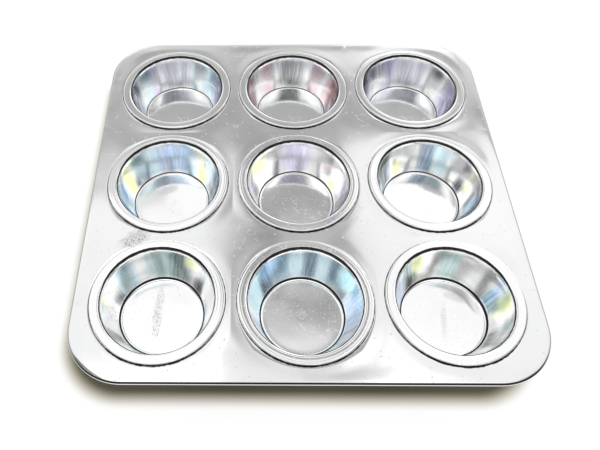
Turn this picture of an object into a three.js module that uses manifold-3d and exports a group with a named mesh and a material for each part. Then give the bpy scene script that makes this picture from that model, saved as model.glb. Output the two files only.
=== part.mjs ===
// Nine-cup muffin pan of bright tinplate, in millimetres with +Z up.
// Each drawn cup is seamed into its own hole in the deck, and the deck's edge is rolled over a wire.
// The pan stands on its cup floors, with the origin under the middle cup.
import * as THREE from 'three';
import { mergeVertices } from 'three/addons/utils/BufferGeometryUtils.js';
import Module from 'manifold-3d';

const wasm = await Module();
wasm.setup();

// Sheet and fits
const SHEET = 0.4; // thickness of the tinplate
const CLEAR = 0.1; // gap between sheets that are folded together

// Cups
const CUP_DEPTH = 24; // from the deck's top to the inside of a floor
const MOUTH_RADIUS = 34; // inside of the neck
const NECK_HEIGHT = 0.6; // straight neck between the lip and the wall
const WALL_LEAN = 7.8; // how far the wall leans in between the neck and the floor
const FLOOR_FILLET = 2.5; // inside radius between the wall and the floor

// Seam round each mouth
const SEAM_WIDTH = 6.4; // from the inside of the neck to the outer edge of the seam
const LIP_HOLLOW = 1.6; // inside radius of the lip, where the neck turns out into the flange

// Deck and its rolled edge
const CUP_GAP = 7.2; // flat deck between two seams
const DECK_MARGIN = 10.6; // from the outer seams to the edge of the pan
const CORNER_RADIUS = 35; // outside of a rolled corner
const WIRE_DIAMETER = 1.6;
const ROLL_GAP = 0.9; // from the underside of the deck to the end of the roll
const EDGE_STRIP = 3; // flat sheet between the roll and the inner edge of its blank

// Facets
const CUP_FACETS = 24; // round a cup, and round the collar that it is folded over
const FILLET_FACETS = 2; // from a floor up into its wall
const LIP_FACETS = 3; // over a lip
const HEM_FACETS = 4; // round the edge of a fold in a seam
const CORNER_FACETS = 7; // round each corner of the deck
const ROLL_FACETS = 6; // round the roll
const WIRE_FACETS = 8; // round the wire

// Heights of the seam above the deck's top: the cup's hem, the deck's collar, the cup's flange
const HEM_LOW = CLEAR;
const HEM_HIGH = HEM_LOW + SHEET;
const COLLAR_LOW = HEM_HIGH + CLEAR;
const COLLAR_HIGH = COLLAR_LOW + SHEET;
const FLANGE_LOW = COLLAR_HIGH + CLEAR;
const FLANGE_HIGH = FLANGE_LOW + SHEET;

// Radii of the seam, from the neck outwards
const LIP_BEND = LIP_HOLLOW + SHEET; // outside of the lip
const FOLD_HOLLOW = COLLAR_LOW / 2; // inside of the fold where the deck turns back over the hem
const FOLD_BEND = FOLD_HOLLOW + SHEET;
const FOLD_RADIUS = MOUTH_RADIUS + SHEET + Math.max(LIP_HOLLOW, CLEAR + FOLD_BEND); // centre of that fold
const HEM_EDGE = FOLD_RADIUS; // inner edge of the hem, short of the fold
const SEAM_RADIUS = MOUTH_RADIUS + SEAM_WIDTH;
const COLLAR_EDGE = SEAM_RADIUS - SHEET - CLEAR; // outer edge of the collar, inside the hem's own fold

// Layout
const CUP_PITCH = 2 * SEAM_RADIUS + CUP_GAP;
const DECK_HALF = CUP_PITCH + SEAM_RADIUS + DECK_MARGIN;
const DECK_TOP = CUP_DEPTH + SHEET;
const ROWS = ['back', 'middle', 'front'];
const COLUMNS = ['left', 'centre', 'right'];

// Rolled edge: the sheet goes over the wire, down outside it and back in underneath
const WIRE_RADIUS = WIRE_DIAMETER / 2;
const ROLL_RADIUS = WIRE_RADIUS + CLEAR + SHEET;

const QUARTER = Math.PI / 2;

const point = (x, y) => new THREE.Vector2(x, y);

// Points of a bend whose flats touch the true arc, so that nested bends keep their gap.
function bend(centre, radius, from, to, facets) {
  const step = (to - from) / facets;
  const reach = radius / Math.cos(step / 2);
  const points = [];
  for (let i = 0; i < facets; i++) {
    const angle = from + step * (i + 0.5);
    points.push(point(centre.x + reach * Math.cos(angle), centre.y + reach * Math.sin(angle)));
  }
  return points;
}

// A section turned about the Z axis. Its x is the radius and its y the height.
function turn(section, facets, phase = 0) {
  return new THREE.LatheGeometry(section, facets, phase).rotateX(QUARTER);
}

// A closed section, ordered so that the turned surface faces out of the metal.
function closed(section) {
  const ordered = THREE.ShapeUtils.isClockWise(section) ? [...section].reverse() : section;
  return [...ordered, ordered[0].clone()];
}

function solid(geometry) {
  const bare = geometry.clone();
  bare.deleteAttribute('normal');
  bare.deleteAttribute('uv');
  const merged = mergeVertices(bare);
  const mesh = new wasm.Mesh({
    numProp: 3,
    vertProperties: new Float32Array(merged.attributes.position.array),
    triVerts: new Uint32Array(merged.index.array),
  });
  return new wasm.Manifold(mesh);
}

function surface(manifold) {
  const mesh = manifold.getMesh();
  const geometry = new THREE.BufferGeometry();
  geometry.setAttribute('position', new THREE.BufferAttribute(mesh.vertProperties, 3));
  geometry.setIndex(new THREE.BufferAttribute(mesh.triVerts, 1));
  geometry.computeVertexNormals();
  return geometry;
}

// Square outline with round corners

const CORNER_STEP = QUARTER / CORNER_FACETS;
const CORNER_REACH = 1 / Math.cos(CORNER_STEP / 2); // puts the straight sides at the true radius
const CORNER_SHIFT = DECK_HALF - CORNER_RADIUS;

const shifted = (value) => value + Math.sign(value) * CORNER_SHIFT;

// A section carried round the edge of the deck. Its x is the distance from the centre of a corner.
function carryRound(section) {
  const reached = section.map((p) => point(p.x * CORNER_REACH, p.y));
  const geometry = turn(closed(reached), 4 * CORNER_FACETS, CORNER_STEP / 2);
  const position = geometry.attributes.position;
  for (let i = 0; i < position.count; i++) {
    position.setXY(i, shifted(position.getX(i)), shifted(position.getY(i)));
  }
  return geometry;
}

function squareOutline(cornerRadius) {
  const reach = cornerRadius * CORNER_REACH;
  const points = [];
  for (let i = 0; i < 4 * CORNER_FACETS; i++) {
    const angle = CORNER_STEP * (i + 0.5);
    points.push(point(shifted(reach * Math.cos(angle)), shifted(reach * Math.sin(angle))));
  }
  return points;
}

// Cup: floor, leaning wall, neck, lip and flange, with the hem folded back under the flange

function cupSection() {
  const lip = point(MOUTH_RADIUS + LIP_BEND, FLANGE_HIGH - LIP_BEND);
  const neckFoot = lip.y - NECK_HEIGHT;
  const lean = Math.atan2(WALL_LEAN, CUP_DEPTH + neckFoot);
  const tangent = FLOOR_FILLET * Math.tan((QUARTER - lean) / 2);
  const fillet = point(MOUTH_RADIUS - WALL_LEAN - tangent, FLOOR_FILLET - CUP_DEPTH);
  const hemBend = (FLANGE_HIGH - HEM_LOW) / 2;
  const hem = point(SEAM_RADIUS - hemBend, HEM_LOW + hemBend);
  const inside = [
    point(0, -CUP_DEPTH),
    ...bend(fillet, FLOOR_FILLET, -QUARTER, -lean, FILLET_FACETS),
    point(MOUTH_RADIUS, neckFoot),
    ...bend(lip, LIP_BEND, Math.PI, QUARTER, LIP_FACETS),
    ...bend(hem, hemBend, QUARTER, -QUARTER, HEM_FACETS),
    point(HEM_EDGE, HEM_LOW),
  ];
  const outside = [
    point(HEM_EDGE, HEM_HIGH),
    point(COLLAR_EDGE + CLEAR, HEM_HIGH),
    point(COLLAR_EDGE + CLEAR, FLANGE_LOW),
    ...bend(lip, LIP_HOLLOW, QUARTER, Math.PI, LIP_FACETS),
    point(MOUTH_RADIUS + SHEET, neckFoot - SHEET * Math.tan(lean / 2)),
    ...bend(fillet, FLOOR_FILLET + SHEET, -lean, -QUARTER, FILLET_FACETS),
    point(0, -CUP_DEPTH - SHEET),
  ];
  return [...inside, ...outside].reverse();
}

// Deck: a flat sheet with a folded collar round each hole and its edge rolled over the wire

function collarSection() {
  const fold = point(FOLD_RADIUS, FOLD_HOLLOW);
  return [
    point(SEAM_RADIUS, -SHEET),
    point(SEAM_RADIUS, 0),
    ...bend(fold, FOLD_HOLLOW, -QUARTER, -3 * QUARTER, 2),
    point(COLLAR_EDGE, COLLAR_LOW),
    point(COLLAR_EDGE, COLLAR_HIGH),
    ...bend(fold, FOLD_BEND, QUARTER, 3 * QUARTER, HEM_FACETS),
  ];
}

const ROLL_CENTRE = point(CORNER_RADIUS - ROLL_RADIUS, -ROLL_RADIUS);

function rollSection() {
  const end = -Math.PI - Math.asin((ROLL_RADIUS - SHEET - ROLL_GAP) / ROLL_RADIUS);
  const tip = (radius) => point(radius * Math.cos(end), radius * Math.sin(end)).add(ROLL_CENTRE);
  const strip = ROLL_CENTRE.x - EDGE_STRIP;
  return [
    point(strip, 0),
    ...bend(ROLL_CENTRE, ROLL_RADIUS, QUARTER, end, ROLL_FACETS),
    tip(ROLL_RADIUS),
    tip(ROLL_RADIUS - SHEET),
    ...bend(ROLL_CENTRE, ROLL_RADIUS - SHEET, end, QUARTER, ROLL_FACETS),
    point(strip, -SHEET),
  ];
}

function cupPlaces() {
  const places = [];
  ROWS.forEach((row, i) => {
    COLUMNS.forEach((column, j) => {
      places.push({ name: `cup_${row}_${column}`, x: (j - 1) * CUP_PITCH, y: (1 - i) * CUP_PITCH });
    });
  });
  return places;
}

function flatSheet() {
  const outline = new THREE.Shape(squareOutline(ROLL_CENTRE.x - EDGE_STRIP / 2));
  for (const place of cupPlaces()) {
    const rim = [];
    for (let i = 0; i < CUP_FACETS; i++) {
      const angle = (2 * Math.PI * i) / CUP_FACETS;
      rim.push(point(place.x + HEM_EDGE * Math.sin(angle), place.y + HEM_EDGE * Math.cos(angle)));
    }
    outline.holes.push(new THREE.Path(rim));
  }
  const sheet = new THREE.ExtrudeGeometry(outline, { depth: SHEET, bevelEnabled: false });
  return sheet.translate(0, 0, -SHEET);
}

function deckGeometry() {
  let deck = solid(flatSheet()).add(solid(carryRound(rollSection())));
  const collar = turn(closed(collarSection()), CUP_FACETS);
  for (const place of cupPlaces()) {
    deck = deck.add(solid(collar.clone().translate(place.x, place.y, 0)));
  }
  return surface(deck);
}

// Wire hoop inside the rolled edge

function wireGeometry() {
  const section = [];
  for (let i = 0; i < WIRE_FACETS; i++) {
    const angle = (2 * Math.PI * i) / WIRE_FACETS;
    const x = ROLL_CENTRE.x + WIRE_RADIUS * Math.cos(angle);
    section.push(point(x, ROLL_CENTRE.y + WIRE_RADIUS * Math.sin(angle)));
  }
  return carryRound(section);
}

// Assembly

const metal = (color, roughness) => new THREE.MeshStandardMaterial({ color, roughness, metalness: 1 });

const pan = new THREE.Group();
pan.position.z = DECK_TOP;

function addPiece(name, geometry, material) {
  const mesh = new THREE.Mesh(geometry, material);
  mesh.name = name;
  pan.add(mesh);
  return mesh;
}

addPiece('deck_sheet', deckGeometry(), metal(0xd6d7d8, 0.24));
addPiece('rim_wire', wireGeometry(), metal(0x8f9296, 0.4));
for (const place of cupPlaces()) {
  const cup = addPiece(place.name, turn(cupSection(), CUP_FACETS), metal(0xcfd4d8, 0.18));
  cup.position.set(place.x, place.y, 0);
}

export default pan;
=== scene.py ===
"""A nine-cup muffin pan of bright tinplate, on a white table under soft panels.

Each drawn cup is seamed into its own hole in the deck, and the deck's edge is rolled over a wire.
"""

import logging
import math
from collections.abc import Callable, Iterable, Sequence
from dataclasses import asdict, dataclass, field
from enum import Enum
from functools import cached_property

import bmesh
import bpy
from mathutils import Matrix, Vector


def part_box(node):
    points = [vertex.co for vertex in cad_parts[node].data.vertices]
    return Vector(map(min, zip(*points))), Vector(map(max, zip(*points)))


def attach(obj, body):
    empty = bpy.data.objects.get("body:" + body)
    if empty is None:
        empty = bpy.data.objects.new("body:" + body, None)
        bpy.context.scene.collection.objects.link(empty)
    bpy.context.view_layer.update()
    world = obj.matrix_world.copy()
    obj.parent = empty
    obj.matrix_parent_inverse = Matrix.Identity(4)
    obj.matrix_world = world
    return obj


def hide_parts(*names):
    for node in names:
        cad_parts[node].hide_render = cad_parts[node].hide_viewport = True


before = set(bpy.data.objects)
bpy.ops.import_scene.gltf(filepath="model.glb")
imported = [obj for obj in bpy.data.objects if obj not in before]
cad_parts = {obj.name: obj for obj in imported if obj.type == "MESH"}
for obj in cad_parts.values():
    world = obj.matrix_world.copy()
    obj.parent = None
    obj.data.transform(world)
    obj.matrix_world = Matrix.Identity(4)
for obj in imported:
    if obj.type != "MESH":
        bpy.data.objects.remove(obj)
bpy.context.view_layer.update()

LOG = logging.getLogger("muffin_pan")

MM = 0.001
FULL_TURN = 2 * math.pi
QUARTER = math.pi / 2
BODY = "root"
MERGE = 1e-6  # metres, well under the thickness of the sheet

Point = tuple[float, float]
Colour = tuple[float, float, float]
Band = tuple[float, float, float, float]  # where a change starts and ends, and the brightness at each
Socket = bpy.types.NodeSocket
Feed = Socket | float | Sequence[float]  # what an input of a node takes


def select_only(piece: bpy.types.Object) -> None:
    """Make a piece the active one and the only one selected."""
    bpy.ops.object.select_all(action="DESELECT")
    piece.select_set(True)
    bpy.context.view_layer.objects.active = piece


def name_new(name: str) -> bpy.types.Object:
    """Name the active piece and its mesh.

    Args:
        name: name of the piece.

    Returns:
        The piece.
    """
    piece = bpy.context.active_object
    piece.name = name
    piece.data.name = name
    return piece


def arc(centre: Point, radius: float, start: float, end: float, steps: int) -> list[Point]:
    """Points along an arc, both ends included.

    Args:
        centre: centre of the arc.
        radius: its radius.
        start: angle of the first point, in radians.
        end: angle of the last point.
        steps: number of straight steps.

    Returns:
        The points, in order.
    """
    turns = [start + (end - start) * i / steps for i in range(steps + 1)]
    return [(centre[0] + radius * math.cos(t), centre[1] + radius * math.sin(t)) for t in turns]


def trace(name: str, section: Sequence[Point]) -> bpy.types.Object:
    """Extrude one vertex along a section in the XZ plane, and stay in edit mode.

    Args:
        name: name of the piece.
        section: radius and height of each point.

    Returns:
        The piece, as a chain of edges.
    """
    bpy.ops.object.select_all(action="DESELECT")
    bpy.ops.mesh.primitive_plane_add(size=MM, location=(0, 0, 0))
    piece = name_new(name)
    bpy.ops.object.mode_set(mode="EDIT")
    bpy.ops.mesh.select_all(action="SELECT")
    bpy.ops.mesh.merge(type="CENTER")
    here = Vector((0, 0, 0))
    for index, (radius, height) in enumerate(section):
        there = Vector((radius, 0, height))
        if index:
            bpy.ops.mesh.extrude_region_move(TRANSFORM_OT_translate={"value": there - here})
        else:
            bpy.ops.transform.translate(value=there)
        here = there
    return piece


def extrude_ring(place: Callable[[bmesh.types.BMVert], Vector]) -> None:
    """Extrude the selected edges and move each new vertex to its place.

    Args:
        place: gives the new place of a vertex that lies where its source does.
    """
    bpy.ops.mesh.extrude_region_move()
    mesh = bpy.context.edit_object.data
    shape = bmesh.from_edit_mesh(mesh)
    for vertex in shape.verts:
        if vertex.select:
            vertex.co = place(vertex)
    bmesh.update_edit_mesh(mesh)


def select_edges(choose: Callable[[bmesh.types.BMEdge], bool]) -> None:
    """Select only the edges of the edited mesh that a test chooses.

    Args:
        choose: the test.
    """
    bpy.ops.mesh.select_mode(type="EDGE")
    bpy.ops.mesh.select_all(action="DESELECT")
    mesh = bpy.context.edit_object.data
    shape = bmesh.from_edit_mesh(mesh)
    for edge in [edge for edge in shape.edges if choose(edge)]:
        edge.select_set(True)
    bmesh.update_edit_mesh(mesh)


def merge_doubles() -> None:
    """Merge the doubles of the edited mesh, and leave it all selected."""
    bpy.ops.mesh.select_mode(type="VERT")
    bpy.ops.mesh.select_all(action="SELECT")
    bpy.ops.mesh.remove_doubles(threshold=MERGE)


def close_sheet() -> None:
    """Merge the doubles of the edited sheet and turn its face up, then leave edit mode."""
    merge_doubles()
    bpy.ops.mesh.normals_make_consistent(inside=False)
    shape = bmesh.from_edit_mesh(bpy.context.edit_object.data)
    shape.normal_update()
    if sum(face.normal.z * face.calc_area() for face in shape.faces) < 0:
        bpy.ops.mesh.flip_normals()
    bpy.ops.object.mode_set(mode="OBJECT")


def thicken(piece: bpy.types.Object, sheet: float, smooth_angle: float) -> None:
    """Give a face its sheet thickness on the underside and shade it smooth.

    Args:
        piece: the piece, with its face up.
        sheet: thickness of the sheet.
        smooth_angle: edges sharper than this stay sharp, in degrees.
    """
    select_only(piece)
    bpy.ops.object.modifier_add(type="SOLIDIFY")
    wall = piece.modifiers[-1]
    wall.thickness = sheet
    wall.offset = -1
    wall.use_even_offset = True
    bpy.ops.object.modifier_apply(modifier=wall.name)
    bpy.ops.object.shade_smooth_by_angle(angle=math.radians(smooth_angle))


def ease(value: float, low: float, high: float) -> float:
    """Smooth step from 0 at low to 1 at high."""
    share = min(max((value - low) / (high - low), 0.0), 1.0)
    return share * share * (3 - 2 * share)


class Board:
    """A node tree with short calls for adding shader nodes."""

    def __init__(self, tree: bpy.types.NodeTree) -> None:
        """Take over a node tree."""
        self.tree = tree

    def plug(self, node: bpy.types.Node, sockets: dict[str | int, Feed]) -> None:
        """Set or join the inputs of a node.

        Args:
            node: the node.
            sockets: value or output socket for each input, by name or number.
        """
        for name, value in sockets.items():
            if isinstance(value, Socket):
                self.tree.links.new(value, node.inputs[name])
            else:
                node.inputs[name].default_value = value

    def add(self, kind: str, sockets: dict[str | int, Feed] | None = None, **settings: object) -> bpy.types.Node:
        """Add a shader node, set it and join it.

        Args:
            kind: the node's type, without the words that every shader node's type starts with.
            sockets: value or output socket for each of its inputs, by name or number.
            settings: the node's own properties.

        Returns:
            The node.
        """
        node = self.tree.nodes.new(f"ShaderNode{kind}")
        for name, value in settings.items():
            setattr(node, name, value)
        self.plug(node, sockets or {})
        return node

    def math(self, operation: str, *values: Feed) -> Socket:
        """Add a Math node and return its output."""
        return self.add("Math", dict(enumerate(values)), operation=operation).outputs[0]

    def vector(self, operation: str, *values: Feed) -> Socket:
        """Add a Vector Math node and return the output that its operation fills."""
        node = self.add("VectorMath", dict(enumerate(values)), operation=operation)
        return node.outputs["Value" if operation in ("DOT_PRODUCT", "LENGTH") else "Vector"]

    def product(self, result: Feed, *others: Feed) -> Feed:
        """Multiply values with one another and return the result."""
        for other in others:
            result = self.math("MULTIPLY", result, other)
        return result

    def total(self, result: Feed, *terms: tuple[Feed, Feed]) -> Feed:
        """Add terms to a value, each with its weight, and return the result."""
        for value, weight in terms:
            result = self.math("MULTIPLY_ADD", value, weight, result)
        return result

    def ramp(self, value: Feed, low: Feed, high: Feed, to_low: float = 0.0, to_high: float = 1.0) -> Socket:
        """Add a smooth Map Range and return its result."""
        sockets = {"Value": value, "From Min": low, "From Max": high, "To Min": to_low, "To Max": to_high}
        return self.add("MapRange", sockets, interpolation_type="SMOOTHSTEP").outputs["Result"]

    def step(self, value: Feed, edge: Feed, soft: float) -> Socket:
        """Add a soft step at an edge and return its result, which falls where the softness is negative."""
        return self.ramp(value, self.math("SUBTRACT", edge, soft), edge)

    def lerp(self, share: Feed, first: Feed, second: Feed) -> Socket:
        """Mix two values and return the result."""
        return self.add("Mix", {0: share, 2: first, 3: second}, data_type="FLOAT").outputs[0]

    def blend(self, share: Feed, first: Feed, second: Feed) -> Socket:
        """Mix two colours and return the result."""
        return self.add("Mix", {0: share, 6: first, 7: second}, data_type="RGBA").outputs[2]

    def split(self, vector: Feed) -> list[Socket]:
        """Add a Separate XYZ node and return its three outputs."""
        return list(self.add("SeparateXYZ", {"Vector": vector}).outputs)

    def join(self, x: Feed = 0.0, y: Feed = 0.0, z: Feed = 0.0) -> Socket:
        """Add a Combine XYZ node and return its vector."""
        return self.add("CombineXYZ", {"X": x, "Y": y, "Z": z}).outputs["Vector"]

    def noise(self, vector: Feed, scale: Feed, detail: float = 2.0, distortion: float = 0.0) -> Socket:
        """Add a noise texture and return its value."""
        sockets = {"Vector": vector, "Scale": scale, "Detail": detail, "Distortion": distortion}
        return self.add("TexNoise", sockets).outputs["Fac"]

    def mapping(
        self, vector: Feed, place: Sequence[float] = (0, 0, 0), turn: float = 0.0, scale: Sequence[float] = (1, 1, 1)
    ) -> Socket:
        """Add a Mapping node, which turns about the Z axis, and return its vector."""
        sockets = {"Vector": vector, "Location": place, "Rotation": (0, 0, turn), "Scale": scale}
        return self.add("Mapping", sockets).outputs["Vector"]

    def dots(self, vector: Feed, scale: Feed, inner: float, outer: float) -> tuple[Socket, Socket]:
        """Add a soft dot to each cell of a Voronoi pattern.

        Args:
            vector: place in the pattern.
            scale: how many cells lie along one unit.
            inner: radius at which a dot starts to fade, as a share of a cell.
            outer: radius at which it ends.

        Returns:
            The dots as a mask, and a random value for each cell.
        """
        cells = self.add("TexVoronoi", {"Vector": vector, "Scale": scale})
        luck = self.add("SeparateColor", {"Color": cells.outputs["Color"]}).outputs["Red"]
        return self.ramp(cells.outputs["Distance"], inner, outer, 1.0, 0.0), luck


class Effect(Board):
    """A shader node group that reads a place and gives one result."""

    def __init__(self, name: str, values: Sequence[str], output: str, colours: Sequence[str] = ()) -> None:
        """Start the group.

        Args:
            name: name of the group.
            values: names of the inputs that take a number.
            output: name of the output, a colour where the group takes colours.
            colours: names of the inputs that take a colour.
        """
        super().__init__(bpy.data.node_groups.new(name, "ShaderNodeTree"))
        number, colour = "NodeSocketFloat", "NodeSocketColor"
        kinds = {"Vector": "NodeSocketVector", **dict.fromkeys(colours, colour), **dict.fromkeys(values, number)}
        for socket, kind in kinds.items():
            self.tree.interface.new_socket(socket, in_out="INPUT", socket_type=kind)
        self.tree.interface.new_socket(output, in_out="OUTPUT", socket_type=colour if colours else number)
        source = self.tree.nodes.new("NodeGroupInput")
        self.given = {socket: source.outputs[socket] for socket in kinds}
        self.place = self.given["Vector"]

    def close(self, result: Socket) -> bpy.types.NodeTree:
        """Join the result to the group's output and return the group."""
        self.tree.links.new(result, self.tree.nodes.new("NodeGroupOutput").inputs[0])
        return self.tree


def make_scratches() -> bpy.types.NodeTree:
    """Fine crossing scratches, as a mask.

    Returns:
        The node group.
    """
    board = Effect("fine_scratches", ("Scale", "Amount"), "Mask")
    lines = 0.0
    for turn, stretch in ((0.3, 0.05), (1.35, 0.08), (2.2, 0.06)):
        turned = board.mapping(board.place, (turn, 0.37 * turn, 0), turn)
        flat = board.mapping(turned, scale=(1, stretch, 0.02))
        sockets = {"Vector": flat, "Scale": board.given["Scale"]}
        cells = board.add("TexVoronoi", sockets, feature="DISTANCE_TO_EDGE").outputs["Distance"]
        broken = board.ramp(board.noise(turned, 130.0, 1.0), 0.52, 0.60)
        lines = board.math("MAXIMUM", lines, board.product(board.ramp(cells, 0.0, 0.024, 1.0, 0.0), broken))
    patches = board.ramp(board.noise(board.place, 45.0), 0.48, 0.68)
    return board.close(board.product(lines, patches, board.given["Amount"]))


def make_pits() -> bpy.types.NodeTree:
    """Tiny pits and specks, as a mask.

    Returns:
        The node group.
    """
    board = Effect("specks", ("Scale", "Share"), "Mask")
    dots, luck = board.dots(board.place, board.given["Scale"], 0.10, 0.24)
    return board.close(board.product(dots, board.math("LESS_THAN", luck, board.given["Share"])))


def make_rubbed_patch() -> bpy.types.NodeTree:
    """One rubbed patch with a ragged edge, centred on the place it is given, as a mask.

    Returns:
        The node group.
    """
    board = Effect("rubbed_patch", ("Length", "Width", "Grit"), "Mask")
    grit = board.given["Grit"]
    x, y, _ = board.split(board.place)
    along = board.math("DIVIDE", x, board.given["Length"])
    across = board.math("DIVIDE", y, board.given["Width"])
    reach = board.vector("LENGTH", board.join(along, across))
    cloud = board.math("SUBTRACT", board.noise(board.place, 160.0, 3.0), 0.5)
    ragged = board.total(reach, (cloud, board.ramp(grit, 0.0, 1.0, 1.1, 0.6)))
    body = board.ramp(ragged, 0.35, 1.0, 1.0, 0.0)
    dots, luck = board.dots(board.place, 1450.0, 0.28, 0.58)
    specks = board.math("MAXIMUM", board.product(dots, board.ramp(luck, 0.2, 0.7, 1.0, 0.15)), 0.16)
    return board.close(board.product(body, board.lerp(grit, 1.0, specks)))


def make_draw_marks() -> bpy.types.NodeTree:
    """Draw marks that run up a cup's wall, as a value round one half.

    Returns:
        The node group.
    """
    board = Effect("draw_marks", ("Scale",), "Value")
    x, y, z = board.split(board.place)
    bearing = board.vector("NORMALIZE", board.join(x, y))
    height = board.join(z=board.product(z, 2.5))
    return board.close(board.noise(board.vector("ADD", bearing, height), board.given["Scale"], 3.0))


def make_wall_tint() -> bpy.types.NodeTree:
    """A patch of colour on one side of a cup's wall, laid over a base colour.

    Returns:
        The node group.
    """
    values = ("Bearing", "Spread", "Streaks", "Low", "Low End", "High", "High End")
    board = Effect("wall_tint", values, "Colour", ("Base", "Metal", "Tint"))
    given = board.given
    x, y, z = board.split(board.place)
    aim = board.join(board.math("COSINE", given["Bearing"]), board.math("SINE", given["Bearing"]))
    facing = board.vector("DOT_PRODUCT", board.vector("NORMALIZE", board.join(x, y)), aim)
    near = board.ramp(facing, board.math("COSINE", given["Spread"]), 1.0)
    low, high = (board.ramp(z, given[edge], given[f"{edge} End"]) for edge in ("Low", "High"))
    ragged = board.ramp(given["Streaks"], 0.28, 0.66, 0.55, 1.0)
    tinted = board.vector("MULTIPLY", given["Metal"], given["Tint"])
    return board.close(board.blend(board.product(near, low, high, ragged), given["Base"], tinted))


def make_seam_shade() -> bpy.types.NodeTree:
    """Painted shade in the groove round every seam, widest at the front, as a mask.

    Returns:
        The node group.
    """
    board = Effect("seam_shade", ("Pitch", "Radius", "Width"), "Mask")
    half = board.product(board.given["Pitch"], 0.5)
    outermost = board.product(board.given["Pitch"], 1.499)
    near = []
    for part in board.split(board.place)[:2]:
        kept = board.math("MINIMUM", board.math("ABSOLUTE", part), outermost)
        local = board.math("WRAP", kept, half, board.product(half, -1.0))
        near.append(board.product(local, board.math("SIGN", part)))
    reach = board.vector("LENGTH", board.join(*near))
    off = board.math("ABSOLUTE", board.math("SUBTRACT", reach, board.given["Radius"]))
    front = board.ramp(board.math("DIVIDE", near[1], reach), -0.98, -0.55, 1.7, 0.62)
    share = board.math("DIVIDE", off, board.product(board.given["Width"], front))
    speckle = board.ramp(board.noise(board.place, 420.0), 0.35, 0.7, 0.0, 0.4)
    return board.close(board.ramp(board.math("ADD", share, speckle), 0.5, 1.2, 1.0, 0.0))


def make_shade_ring() -> bpy.types.NodeTree:
    """Painted shade in a ring about the Z axis, widest at the back, as a mask.

    Returns:
        The node group.
    """
    board = Effect("shade_ring", ("Inner", "Width", "Least", "Low", "High"), "Mask")
    given = board.given
    x, y, z = board.split(board.place)
    reach = board.vector("LENGTH", board.join(x, y))
    back = board.ramp(board.math("DIVIDE", y, reach), 0.0, 0.95)
    outer = board.total(given["Inner"], (given["Width"], board.lerp(back, given["Least"], 1.0)))
    wander = board.math("SUBTRACT", board.noise(board.place, 330.0), 0.5)
    reach = board.total(reach, (wander, board.product(given["Width"], 0.35)))
    soft = 0.16 * MM
    edges = ((reach, given["Inner"], soft), (reach, outer, -soft), (z, given["Low"], soft), (z, given["High"], -soft))
    return board.close(board.product(*(board.step(*edge) for edge in edges)))


def make_outline() -> bpy.types.NodeTree:
    """How far a place lies outside the pan's outline, less than nothing inside it.

    Returns:
        The node group.
    """
    board = Effect("pan_outline", ("Half", "Corner"), "Distance")
    centre = board.math("SUBTRACT", board.given["Half"], board.given["Corner"])
    over = [
        board.math("MAXIMUM", board.math("SUBTRACT", board.math("ABSOLUTE", part), centre), 0.0)
        for part in board.split(board.place)[:2]
    ]
    return board.close(board.math("SUBTRACT", board.vector("LENGTH", board.join(*over)), board.given["Corner"]))


@dataclass(frozen=True)
class Effects:
    """The node groups that the finishes share."""

    scratches: bpy.types.NodeTree = field(default_factory=make_scratches)
    pits: bpy.types.NodeTree = field(default_factory=make_pits)
    rubbed_patch: bpy.types.NodeTree = field(default_factory=make_rubbed_patch)
    draw_marks: bpy.types.NodeTree = field(default_factory=make_draw_marks)
    wall_tint: bpy.types.NodeTree = field(default_factory=make_wall_tint)
    seam_shade: bpy.types.NodeTree = field(default_factory=make_seam_shade)
    shade_ring: bpy.types.NodeTree = field(default_factory=make_shade_ring)
    outline: bpy.types.NodeTree = field(default_factory=make_outline)


class Surface(Board):
    """A new material, with its shader and the place on its piece."""

    def __init__(self, name: str, middle: Point = (0.0, 0.0), metallic: float = 1.0) -> None:
        """Start the material.

        Args:
            name: name of the material.
            middle: place on the piece that patterns are centred on, seen from above.
            metallic: 1 for metal.
        """
        self.made = bpy.data.materials.new(name)
        self.made.use_nodes = True
        super().__init__(self.made.node_tree)
        self.shader = self.tree.nodes["Principled BSDF"]
        self.shader.inputs["Metallic"].default_value = metallic
        self.place = self.mapping(self.add("TexCoord").outputs["Object"], (-middle[0], -middle[1], 0))
        self.x, self.y, self.z = self.split(self.place)

    def effect(self, tree: bpy.types.NodeTree, sockets: dict[str, Feed]) -> Socket:
        """Add a shared effect, at the place on the piece unless another is given, and return its result."""
        return self.add("Group", {"Vector": self.place, **sockets}, node_tree=tree).outputs[0]

    def dress(
        self, colour: Socket, rough: Socket, relief: Socket, strength: float, unit: float
    ) -> bpy.types.Material:
        """Join colour, roughness and relief to the shader.

        Args:
            colour: the base colour.
            rough: the roughness.
            relief: height of the fine marks.
            strength: how strongly the relief shows.
            unit: metres that a relief of 1 stands for.

        Returns:
            The material.
        """
        bump = self.add("Bump", {"Height": relief, "Strength": strength, "Distance": unit})
        self.plug(self.shader, {"Base Color": colour, "Roughness": rough, "Normal": bump.outputs["Normal"]})
        return self.made


class Tint(Enum):
    """Colours on the tin of the walls: the light tints are partly oxide and partly painted reflection, and the dark
    ones (HAZE, SLATE, SHADE, DUSK, DENIM, PINE, EMBER) are painted dark reflections of the room.
    """

    BLUE = (0.54, 0.71, 0.97)
    DENIM = (0.29, 0.39, 0.52)
    SKY = (0.67, 0.91, 0.99)
    TEAL = (0.60, 0.83, 0.81)
    PINE = (0.28, 0.38, 0.37)
    LILAC = (0.78, 0.74, 0.98)
    ROSE = (0.98, 0.68, 0.74)
    EMBER = (0.50, 0.30, 0.27)
    STRAW = (0.98, 1.0, 0.52)
    HAZE = (0.56, 0.60, 0.65)
    SLATE = (0.60, 0.61, 0.70)
    SHADE = (0.31, 0.325, 0.34)
    DUSK = (0.13, 0.145, 0.17)


@dataclass(frozen=True)
class WallTint:
    """Where one colour lies on a wall, oxide tint and painted reflection alike."""

    tint: Tint
    bearing: float  # degrees from +X, against the clock
    spread: float  # degrees to either side
    low: float = 0.0  # share of the wall's height
    high: float = 1.0


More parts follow.
